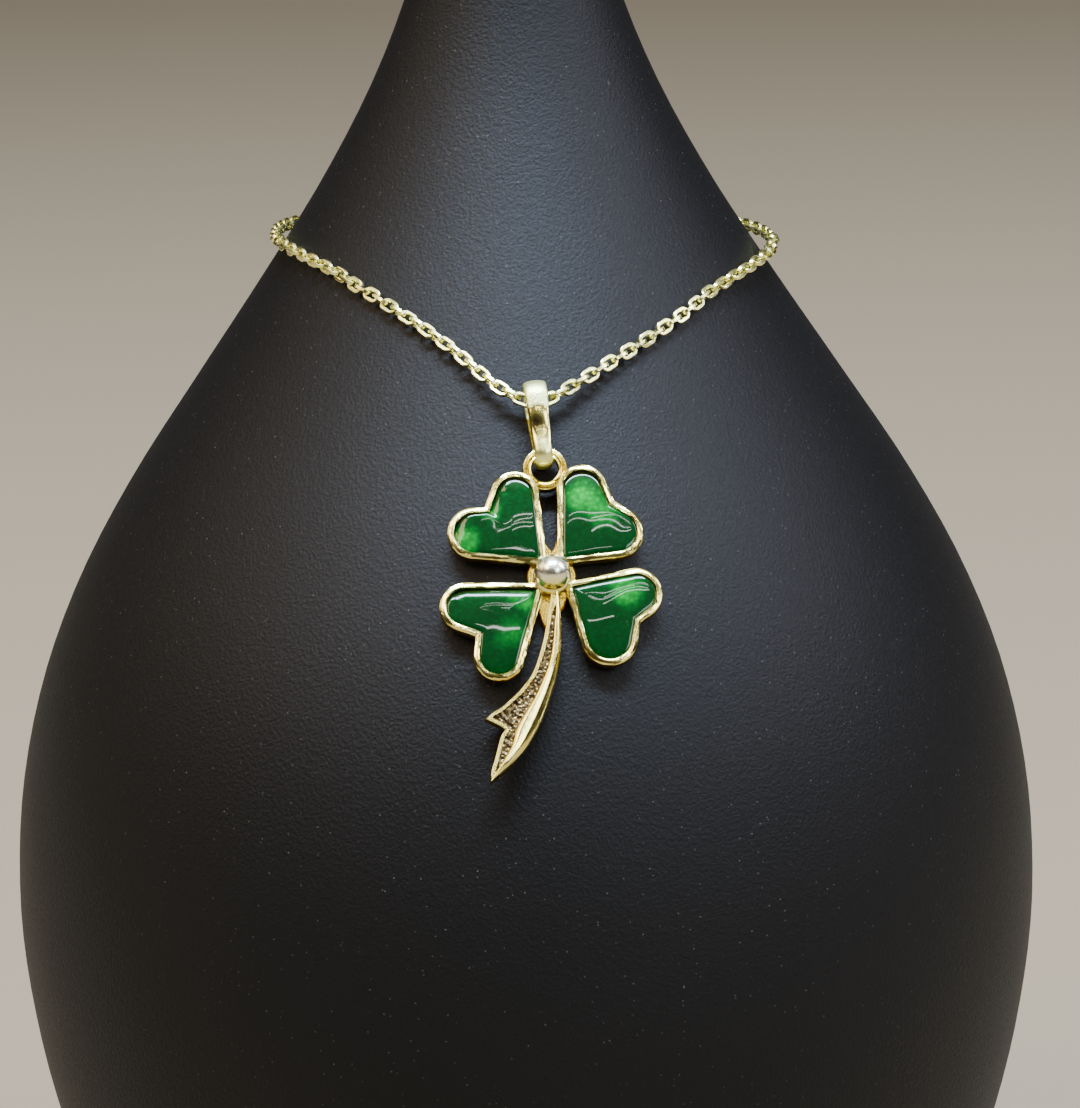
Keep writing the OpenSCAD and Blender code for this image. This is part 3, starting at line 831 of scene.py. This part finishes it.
def makeEnamelGreen(look):  # clear green over a bright hammered floor, lighter in spots of painted light
    material, tree, sockets, place = newMaterial("enamelGreen", **look["shader"])
    tone = placeGroup(tree, mottle, place, look["tone"])
    dents = placeGroup(tree, hammered, place, look["dents"])
    wavy = newNode(tree, "ShaderNodeTexNoise", {"Vector": place, "Scale": look["wavy"], "Detail": 3.0})
    bend = look["bend"] * mm
    bent = vectorNode(tree, "MULTIPLY_ADD", wavy.outputs["Color"], (bend, bend, 0.0), place)[0]
    # painted light: the floor is made lighter in a few spots
    paintedLight = look["lowest"]
    for (x, y), radius, strength in look["paintedLightSpots"]:
        middle = (x * mm + bend / 2, y * mm + bend / 2, look["paintedLightHeight"] * mm)
        away = vectorNode(tree, "DISTANCE", bent, middle)["Value"]
        spot = newNode(tree, "ShaderNodeMapRange",
                       {"Value": away, "From Max": radius * mm, "To Min": strength, "To Max": 0.0},
                       interpolation_type="SMOOTHERSTEP").outputs["Result"]
        paintedLight = plus(tree, spot, paintedLight)
    grains = times(tree, rangeNode(tree, tone["Tone"], 0.0, 1.0, *look["toneReach"]),
                   rangeNode(tree, dents["Hollow"], 0.0, 1.0, *look["dentReach"]))
    colour = colourMix(tree, times(tree, paintedLight, grains), look["deep"], look["bright"])
    tree.links.new(colour, sockets["Base Color"])
    tree.links.new(rangeNode(tree, tone["Tone"], *usualTones, *look["rough"]), sockets["Roughness"])
    height = plus(tree, dents["Height"], tone["Height"])
    bumpInto(tree, sockets, height, look["grainDepth"] * mm, look["grainStrength"])
    return material


enamelGreen = makeEnamelGreen(enamelLook)
enamelNodes = ("enamel_top_right", "enamel_top_left", "enamel_bottom_left", "enamel_bottom_right")
leafCups = []
for number, (name, leaf) in enumerate(cloverShape["leaves"].items()):
    leafCups.append(gilded(makeLeafCup(name, leaf, rimShape, number)))
    enamel = dress(makeEnamel(name, leaf, enamelShape), enamelGreen)
    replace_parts(enamel, enamelNodes[number])
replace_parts(leafCups[0], "clover_frame")
print("leaf cups and enamel made")


# ring, hub, ball and webs

def makePendantRing(shape):
    middle, steps = Vector(cloverShape["ringAt"]), shape["steps"]
    points = [(*(middle + polar(360 * k / steps, shape["hole"] + across)), height)
              for across, height in shape["section"] for k in range(steps)]
    faces = closedBand(len(shape["section"]), steps)
    return addToClover("pendantRing", points, faces, sharp=35)


def makeBall(shape):
    radius, height = shape["ballRadius"], shape["ballHeight"]
    profile = [(0, shape["collar"][0][1])] + shape["collar"]
    start = -math.degrees(math.acos(shape["collar"][-1][0] / radius))
    for k in range(shape["ballRows"] + 1):
        at = polar(mix(start, 90, k / shape["ballRows"]), radius)
        profile.append((max(at.x, 0), height + at.y))
    points, faces = lathe(profile, shape["ballSteps"])
    return addToClover("centreBall", points, faces, sharp=45)


def makeHub(shape):
    points, faces = lathe(shape["hub"], shape["hubSteps"])
    return addToClover("hub", points, faces, sharp=35)


# near-white gold as a painted highlight, and painted shade on the lower side
ballLook = dict(rimGoldLook, deep=(0.97, 0.96, 0.76, 1), pale=(1.0, 1.0, 0.90, 1), roughLow=0.21,
                roughHigh=0.31, paintedShadeUnder=(0.93, 0.84, 0.26, 1), underFrom=-0.5, underTo=-1.4)


def makeBallGold(look):  # near white, as a painted highlight, and yellower on its lower side, as painted shade
    material, tree, sockets, place = makeGold("ballGold", look)
    paintedShadeUnder = rangeNode(tree, partOf(tree, place, "Y"), look["underFrom"] * mm, look["underTo"] * mm)
    colour = colourMix(tree, paintedShadeUnder, nowIn(sockets, "Base Color"), look["paintedShadeUnder"])
    tree.links.new(colour, sockets["Base Color"])
    return material


gilded(makePendantRing(ringShape))
dress(makeBall(cloverShape), makeBallGold(ballLook))
gilded(makeHub(cloverShape))
print("ring, ball and hub made")


# stem: drop below the ball and place to the right of it, as shares of its length

stemShape = {
    "length": 18.7,
    "left": [(0.06, -0.012), (0.125, -0.025), (0.182, -0.042), (0.246, -0.060), (0.320, -0.083),
             (0.407, -0.118), (0.479, -0.155), (0.548, -0.217), (0.592, -0.271), (0.630, -0.323),
             (0.655, -0.374)],
    "fork": [(0.682, -0.407), (0.730, -0.335), (0.748, -0.322), (0.770, -0.340)],
    "tail": [(0.817, -0.360), (0.889, -0.387), (0.936, -0.407), (1, -0.420)],
    "right": [(0.945, -0.337), (0.900, -0.283), (0.847, -0.229), (0.787, -0.182), (0.726, -0.141),
              (0.670, -0.110), (0.588, -0.072), (0.526, -0.044), (0.453, -0.020), (0.379, -0.002),
              (0.279, 0.013), (0.178, 0.022), (0.06, 0.024)],
    "rib": [(0.950, -0.385), (0.894, -0.345), (0.824, -0.298), (0.743, -0.264), (0.659, -0.206),
            (0.599, -0.160), (0.519, -0.112), (0.447, -0.074), (0.349, -0.042), (0.250, -0.021),
            (0.150, 0.001)],
    "webs": [(0.05, -0.085), (0.12, -0.086), (0.20, -0.077), (0.245, -0.066), (0.23, -0.045), (0.165, 0.0),
             (0.18, 0.020), (0.155, 0.042), (0.11, 0.060), (0.05, 0.080)],
    "websTop": -0.3, "perStep": 5,
    "section": [(0.07, -0.65), (0.0, -0.58), (0.0, 0.28), (0.05, 0.43), (0.14, 0.5)],  # inset, height
    "rim": 0.36, "wall": 0.07, "recess": 0.12, "grid": 0.12, "dent": 0.05, "seed": 5,
    # the rib: its cross section, and where it starts, ends and meets the tail, as shares of the length
    "ribShares": (0, 0.05, 0.12, 0.20, 0.27, 0.62, 0.74, 0.86, 0.95, 1),
    "ribHeights": (0, 0.42, 0.76, 0.95, 1, 0.80, 0.60, 0.36, 0.14, 0),
    "ribStart": 0.085, "ribEnd": 0.995, "ribTail": 0.945, "ribTop": (0.06, 0.004),
    "ribRise": 0.42, "ribFull": 1.1, "ribLow": 0.34, "ribGap": 0.02, "ribInset": 0.1,
    "ribSteps": 70, "ribAcross": 18, "ribPerStep": 6,
}


def stemPoints(rows):
    return [Vector((side, -drop)) * stemShape["length"] for drop, side in rows]


def smoothWithCorners(points, corners, perStep):  # a closed curve that keeps some corners sharp
    result = []
    ordered = sorted(corners)
    for start, end in zip(ordered, ordered[1:] + [ordered[0] + len(points)]):
        stretch = [points[i % len(points)] for i in range(start, end + 1)]
        result += smoothLine(stretch, perStep)[:-1]
    return result


def loopEdges(count, first=0):
    return [(first + i, first + (i + 1) % count) for i in range(count)]


def makeStemPlate(shape):
    outline = stemPoints(shape["left"] + shape["fork"] + shape["tail"] + shape["right"])
    prong = len(shape["left"])
    leftCount = prong + len(shape["fork"]) + len(shape["tail"])
    notch = prong + 2
    corners = (0, prong, notch, leftCount - 1, len(outline) - 1)
    section, front = shape["section"], shape["section"][-1][1]
    rows = [smoothWithCorners(drawnIn(outline, inset), corners, shape["perStep"])
            for inset, height in section]
    recess = drawnIn(outline, shape["rim"])[2:leftCount - 1] + stemPoints(shape["rib"])
    hole = smoothWithCorners(recess, (0, prong - 2, notch - 2, leftCount - 4), shape["perStep"])
    points = [(*p, height) for row, (inset, height) in zip(rows, section) for p in row]
    count = len(rows[0])
    faces = bandFaces(len(rows), count)
    faces.append(tuple(range(count))[::-1])
    wall = len(points)
    points += [(*p, height) for height in (front, shape["wall"]) for p in hole]
    faces += bandFaces(2, len(hole), first=wall)
    rim = wall - count  # from here the points of the front's rim, and then the hole's
    flat = [Vector(p[:2]) for p in points[rim:wall + len(hole)]]
    edges = loopEdges(count) + loopEdges(len(hole), count)
    verts, _, triangles, sources, *_ = delaunay_2d_cdt(flat, edges, [], 0, 1e-5)
    for face in triangles:
        middle = sum((verts[i] for i in face), Vector((0, 0))) / 3
        if inside(middle, rows[-1]) and not inside(middle, hole) and all(sources[i] for i in face):
            faces.append(tuple(rim + sources[i][0] for i in face))
    return addToClover("stemPlate", points, faces, sharp=30), hole


def makeStemRecess(shape, hole):
    low = Vector((min(p.x for p in hole), min(p.y for p in hole)))
    high = Vector((max(p.x for p in hole), max(p.y for p in hole)))
    chooser = random.Random(shape["seed"])
    flat = list(hole)
    for i in range(int((high.x - low.x) / shape["grid"])):
        for j in range(int((high.y - low.y) / shape["grid"])):
            strayed = Vector((i + chooser.uniform(0.2, 0.8), j + chooser.uniform(0.2, 0.8)))
            at = low + strayed * shape["grid"]
            if inside(at, hole):
                flat.append(at)
    verts, _, triangles, *_ = delaunay_2d_cdt(flat, loopEdges(len(hole)), [], 1, 1e-5)
    points = [(*p, shape["recess"] + chooser.uniform(-1, 1) * shape["dent"]) for p in verts]
    return addToClover("stemRecess", points, triangles, sharp=180)


def alongDrop(points, drop):  # sideways place of an edge at a drop
    rows = sorted((-p.y, p.x) for p in points)
    return float(np.interp(drop, [r[0] for r in rows], [r[1] for r in rows]))


def makeStemRib(shape):
    length = shape["length"]
    end = shape["tail"][-1:]
    rightEdge, ribLine, tail = (smoothLine(stemPoints(rows), shape["ribPerStep"]) for rows in (
        end + shape["right"], end + shape["rib"] + [shape["ribTop"]], shape["tail"]))
    steps, across, gap = shape["ribSteps"], shape["ribAcross"], shape["ribGap"]
    points = []
    for i in range(steps + 1):
        drop = mix(shape["ribStart"], shape["ribEnd"], i / steps) * length
        left, right = alongDrop(ribLine, drop), alongDrop(rightEdge, drop)
        if drop > shape["ribTail"] * length:
            left = max(left, alongDrop(tail, drop) + shape["ribInset"])
        rise = shape["ribRise"] * min(1, (right - left) / shape["ribFull"])
        for k in range(across + 1):
            share = k / across
            height = float(np.interp(share, shape["ribShares"], shape["ribHeights"]))
            edge = mix(shape["section"][-1][1] + gap, shape["ribLow"], share ** 3)
            points.append((mix(left, right - gap, share), -drop, edge + rise * height))
    faces = bandFaces(steps + 1, across + 1, closed=False)
    return addToClover("stemRib", points, faces, sharp=60)


def makeWeb(name, outline, top):  # solder that fills a gap, rounded at its front
    back, bevel = cloverShape["back"], cloverShape["webBevel"]
    chamfer, rise = cloverShape["webChamfer"]
    section = [(chamfer, back), (0.0, back + rise), (0.0, top - bevel), (bevel, top)]
    points = [(*p, height) for inset, height in section for p in drawnIn(outline, inset)]
    faces = capped(len(section), len(outline))
    return addToClover(name, points, faces, sharp=35)


recessLook = {"deep": (0.02, 0.013, 0.006, 1), "pale": (0.27, 0.19, 0.08, 1), "rough": (0.18, 0.4),
              "dents": {"Dents Per Metre": 3600.0}, "dentDepth": 0.08, "dentStrength": 0.8}


def makeRecessGold(look):  # dark between the marks of the punch
    material, tree, sockets, place = newMaterial("recessGold", Metallic=1.0)
    dents = placeGroup(tree, hammered, place, look["dents"])
    tree.links.new(colourMix(tree, dents["Hollow"], look["pale"], look["deep"]), sockets["Base Color"])
    tree.links.new(rangeNode(tree, dents["Hollow"], 0.0, 1.0, *look["rough"]), sockets["Roughness"])
    bumpInto(tree, sockets, dents["Height"], look["dentDepth"] * mm, look["dentStrength"])
    return material


stemPlate, recessOutline = makeStemPlate(stemShape)
gilded(stemPlate)
dress(makeStemRecess(stemShape, recessOutline), makeRecessGold(recessLook))
gilded(makeStemRib(stemShape))
webs = {"stemWebs": (stemPoints(stemShape["webs"]), stemShape["websTop"]),
        "slotWeb": ([Vector(p) for p in cloverShape["slotWeb"]], cloverShape["slotWebTop"])}
for name, (outline, top) in webs.items():
    gilded(makeWeb(name, outline, top))
print("stem made")


# floor and light

floorLook = {"shader": {"Base Color": (0.215, 0.168, 0.105, 1), "Roughness": 0.7}, "size": 30.0}


def makeFloor(look):
    half = look["size"] / 2
    corners = [(-half, -half, 0), (half, -half, 0), (half, half, 0), (-half, half, 0)]
    mesh = bpy.data.meshes.new("floor")
    mesh.from_pydata(corners, [], [(0, 1, 2, 3)])
    floor = bpy.data.objects.new("floor", mesh)
    scene.collection.objects.link(floor)
    mesh.materials.append(newMaterial("floorPale", **look["shader"])[0])


makeFloor(floorLook)

white = (1.0, 1.0, 1.0)
lamps = {  # bearing from the front to the right, elevation, distance, width, height, watts, colour
    "window": (2, 75, 1.6, 1.1, 0.28, 114.0, (0.59, 0.75, 1.0)),
    "rightPanel": (37, 25, 1.3, 0.42, 0.42, 5.6, (0.92, 0.95, 1.0)),
    "farRight": (80, 38, 1.2, 0.4, 0.6, 13.5, (0.86, 0.85, 1.0)),
    "warmLeft": (-50, 45, 1.1, 0.42, 0.5, 9.0, (1.0, 0.76, 0.50)),
    "farLeft": (-95, 32, 1.2, 0.7, 0.6, 4.0, (1.0, 0.72, 0.42)),
    "strip1": (14, 53.2, 1.2, 0.42, 0.005, 0.26, white),
    "strip2": (18, 52.0, 1.2, 0.34, 0.004, 0.16, white),
    "strip3": (11, 50.8, 1.2, 0.42, 0.004, 0.18, white),
    "strip4": (16, 49.2, 1.2, 0.32, 0.005, 0.21, white),
    "strip5": (5, 41.0, 1.2, 0.29, 0.010, 0.28, white),
}


def addLamp(name, bearing, elevation, distance, width, height, watts, colour):
    data = bpy.data.lights.new(name, "AREA")
    data.shape = "RECTANGLE"
    data.size, data.size_y, data.energy, data.color = width, height, watts, colour
    lamp = bpy.data.objects.new(name, data)
    turn, rise = math.radians(bearing), math.radians(elevation)
    toLamp = Vector((math.sin(turn) * math.cos(rise), -math.cos(turn) * math.cos(rise), math.sin(rise)))
    lamp.location = hangPoint + toLamp * distance
    lamp.rotation_mode = "QUATERNION"
    lamp.rotation_quaternion = (-toLamp).to_track_quat("-Z", "Y")
    scene.collection.objects.link(lamp)


for name, values in lamps.items():
    addLamp(name, *values)

roomLook = [(0.0, (0.03, 0.024, 0.018, 1)), (0.40, (0.06, 0.05, 0.04, 1)), (0.62, (0.29, 0.28, 0.26, 1)),
            (0.88, (0.52, 0.52, 0.50, 1)), (0.96, (2.6, 2.6, 2.55, 1))]  # sine of the elevation, light


def makeRoom(look):  # dim near the horizon, bright overhead
    world = bpy.data.worlds.new("room")
    world.use_nodes = True
    tree = world.node_tree
    around = newNode(tree, "ShaderNodeTexCoord").outputs["Generated"]
    ramp = newNode(tree, "ShaderNodeValToRGB", {0: partOf(tree, around, "Z")})
    stops = ramp.color_ramp.elements
    stops[0].position, stops[0].color = look[0]
    stops[1].position, stops[1].color = look[-1]
    for position, colour in look[1:-1]:
        stops.new(position).color = colour
    tree.links.new(ramp.outputs[0], tree.nodes["Background"].inputs["Color"])
    scene.world = world


makeRoom(roomLook)
print("floor and lights placed")
